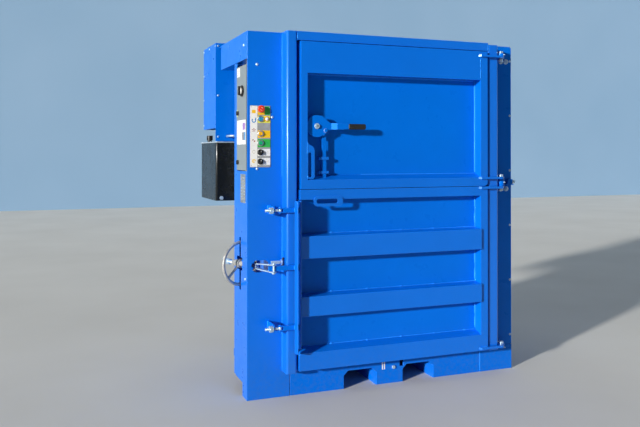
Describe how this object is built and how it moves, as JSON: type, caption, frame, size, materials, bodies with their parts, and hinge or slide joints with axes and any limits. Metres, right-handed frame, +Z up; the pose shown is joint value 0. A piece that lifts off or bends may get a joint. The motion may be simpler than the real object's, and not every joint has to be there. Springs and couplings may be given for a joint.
{
  "type": "recycling baler",
  "caption": "Upright recycling baler: steel chamber with an upper loading door and lower bale door, screw lock with handwheel, side control box, rear oil tank and a pull-down press plate.",
  "frame": {"origin": "centre of the bounding box in plan, on the floor the base stands on", "axes": "+Z up, +Y towards the back, +X towards the hinge side; the doors face -Y"},
  "size_m": [1.829, 1.273, 2.03],
  "materials": {
    "paint_blue": "gloss",
    "tank_black": "gloss",
    "lid_grey": "satin",
    "plastic_black": "satin",
    "motor_grey": "satin",
    "box_grey": "satin",
    "gear_plastic": "satin",
    "zinc": "satin",
    "galvanised": "matte",
    "rod_chrome": "polished",
    "fascia_white": "gloss",
    "button_red": "gloss",
    "button_blue": "gloss",
    "button_yellow": "gloss",
    "button_green": "gloss"
  },
  "bodies": {
    "frame": {"base_front_beam": "paint_blue", "base_corner_block": "paint_blue", "base_frame": "paint_blue", "chamber_floor": "paint_blue", "chamber_left_wall": "paint_blue", "chamber_right_wall": "paint_blue", "chamber_back_wall": "paint_blue", "roof_plate": "paint_blue", "door_portal": "paint_blue", "right_cover": "paint_blue", "cabinet_front_panel": "paint_blue", "cabinet_side_panel": "paint_blue", "header_panel": "paint_blue", "motor_cover": "paint_blue", "oil_tank": "tank_black", "tank_lid": "lid_grey", "breather_cap": "plastic_black", "pump_motor": "motor_grey", "valve_block": "motor_grey", "mounting_brackets": "paint_blue", "hydraulic_pipes": "zinc", "cylinder_barrels": "paint_blue", "hinge_lugs": "paint_blue", "hinge_pins": "zinc", "fasteners": "zinc", "clamp_catches": "paint_blue", "lock_bearing_bracket": "paint_blue", "control_box": "box_grey", "control_gear": "gear_plastic", "control_fascia": "fascia_white"},
    "press": {"cylinder_rods": "rod_chrome", "press_plate": "paint_blue", "press_crossbeam": "paint_blue"},
    "load_door": {"load_door_frame": "paint_blue", "load_door_panel": "paint_blue", "latch_pivot": "zinc"},
    "latch_lever": {"latch_lever": "paint_blue", "latch_grip": "plastic_black"},
    "latch_rod": {"latch_rod": "paint_blue"},
    "bale_door": {"bale_door_frame": "paint_blue", "bale_door_panel": "paint_blue", "bale_door_ribs": "paint_blue", "clamp_arms": "paint_blue"},
    "swing_bolt_top": {"swing_bolt_top": "zinc"},
    "swing_bolt_bottom": {"swing_bolt_bottom": "zinc"},
    "clamp_nut_top": {"clamp_nut_top": "zinc"},
    "clamp_nut_bottom": {"clamp_nut_bottom": "zinc"},
    "lock_screw": {"lock_yoke": "zinc", "lock_spindle": "zinc"},
    "handwheel": {"handwheel": "galvanised"},
    "box_door": {"control_box_door": "box_grey"},
    "isolator_knob": {"isolator_knob": "plastic_black"},
    "cam_lock_upper": {"cam_lock_upper": "plastic_black"},
    "cam_lock_lower": {"cam_lock_lower": "plastic_black"},
    "emergency_stop": {"emergency_stop": "button_red"},
    "blue_button": {"blue_button": "button_blue"},
    "yellow_button": {"yellow_button": "button_yellow"},
    "green_button": {"green_button": "button_green"},
    "selector_upper": {"selector_upper": "plastic_black"},
    "selector_lower": {"selector_lower": "plastic_black"}
  },
  "joints": [
    {"name": "load_door_hinge", "type": "hinge", "parent": "frame", "child": "load_door", "pos_m": [0.77952, -0.5465, 1.55], "axis": [0, 0, 1], "range_deg": [0, 120]},
    {"name": "bale_door_hinge", "type": "hinge", "parent": "frame", "child": "bale_door", "pos_m": [0.77952, -0.5465, 0.65], "axis": [0, 0, 1], "range_deg": [0, 120]},
    {"name": "latch_lever_turn", "type": "hinge", "parent": "load_door", "child": "latch_lever", "pos_m": [-0.42648, -0.5625, 1.485], "axis": [0, -1, 0], "range_deg": [0, 60]},
    {"name": "latch_rod_lift", "type": "slide", "parent": "load_door", "child": "latch_rod", "axis": [0, 0, 1], "range_m": [0, 0.056]},
    {"name": "press_stroke", "type": "slide", "parent": "frame", "child": "press", "axis": [0, 0, 1], "range_m": [-0.74, 0]},
    {"name": "swing_bolt_top_turn", "type": "hinge", "parent": "bale_door", "child": "swing_bolt_top", "pos_m": [-0.64448, -0.583, 1.03], "axis": [0, 0, 1], "range_deg": [0, 100]},
    {"name": "swing_bolt_bottom_turn", "type": "hinge", "parent": "bale_door", "child": "swing_bolt_bottom", "pos_m": [-0.64448, -0.583, 0.4], "axis": [0, 0, 1], "range_deg": [0, 100]},
    {"name": "clamp_nut_top_spin", "type": "hinge", "parent": "swing_bolt_top", "child": "clamp_nut_top", "pos_m": [-0.69648, -0.583, 1.03], "axis": [-1, 0, 0], "continuous": true},
    {"name": "clamp_nut_bottom_spin", "type": "hinge", "parent": "swing_bolt_bottom", "child": "clamp_nut_bottom", "pos_m": [-0.69648, -0.583, 0.4], "axis": [-1, 0, 0], "continuous": true},
    {"name": "handwheel_turn", "type": "hinge", "parent": "frame", "child": "handwheel", "pos_m": [-0.80039, -0.33964, 0.722], "axis": [-0.4226, 0.9063, 0], "range_deg": [0, 1080]},
    {"name": "lock_screw_travel", "type": "slide", "parent": "frame", "child": "lock_screw", "axis": [0.4226, -0.9063, 0], "range_m": [0, 0.031]},
    {"name": "box_door_hinge", "type": "hinge", "parent": "frame", "child": "box_door", "pos_m": [-0.79248, -0.4725, 1.53], "axis": [0, 0, 1], "range_deg": [0, 100]},
    {"name": "isolator_turn", "type": "hinge", "parent": "box_door", "child": "isolator_knob", "pos_m": [-0.80648, -0.3905, 1.68], "axis": [-1, 0, 0], "range_deg": [0, 90]},
    {"name": "cam_lock_upper_turn", "type": "hinge", "parent": "box_door", "child": "cam_lock_upper", "pos_m": [-0.80348, -0.3005, 1.561], "axis": [-1, 0, 0], "range_deg": [0, 90]},
    {"name": "cam_lock_lower_turn", "type": "hinge", "parent": "box_door", "child": "cam_lock_lower", "pos_m": [-0.80348, -0.3005, 1.285], "axis": [-1, 0, 0], "range_deg": [0, 90]},
    {"name": "emergency_stop_press", "type": "slide", "parent": "frame", "child": "emergency_stop", "axis": [0, 1, 0], "range_m": [0, 0.006], "stiffness_N_per_m": 1000},
    {"name": "blue_button_press", "type": "slide", "parent": "frame", "child": "blue_button", "axis": [0, 1, 0], "range_m": [0, 0.004], "stiffness_N_per_m": 800},
    {"name": "yellow_button_press", "type": "slide", "parent": "frame", "child": "yellow_button", "axis": [0, 1, 0], "range_m": [0, 0.004], "stiffness_N_per_m": 800},
    {"name": "green_button_press", "type": "slide", "parent": "frame", "child": "green_button", "axis": [0, 1, 0], "range_m": [0, 0.004], "stiffness_N_per_m": 800},
    {"name": "selector_upper_turn", "type": "hinge", "parent": "frame", "child": "selector_upper", "pos_m": [-0.72648, -0.4965, 1.341], "axis": [0, -1, 0], "range_deg": [-45, 45]},
    {"name": "selector_lower_turn", "type": "hinge", "parent": "frame", "child": "selector_lower", "pos_m": [-0.72648, -0.4965, 1.291], "axis": [0, -1, 0], "range_deg": [-45, 45]}
  ],
  "couplings": [
    {"joint": "latch_rod_lift", "follows": "latch_lever_turn", "m_per_rad": 0.0528},
    {"joint": "lock_screw_travel", "follows": "handwheel_turn", "m_per_rad": 0.0015915}
  ]
}
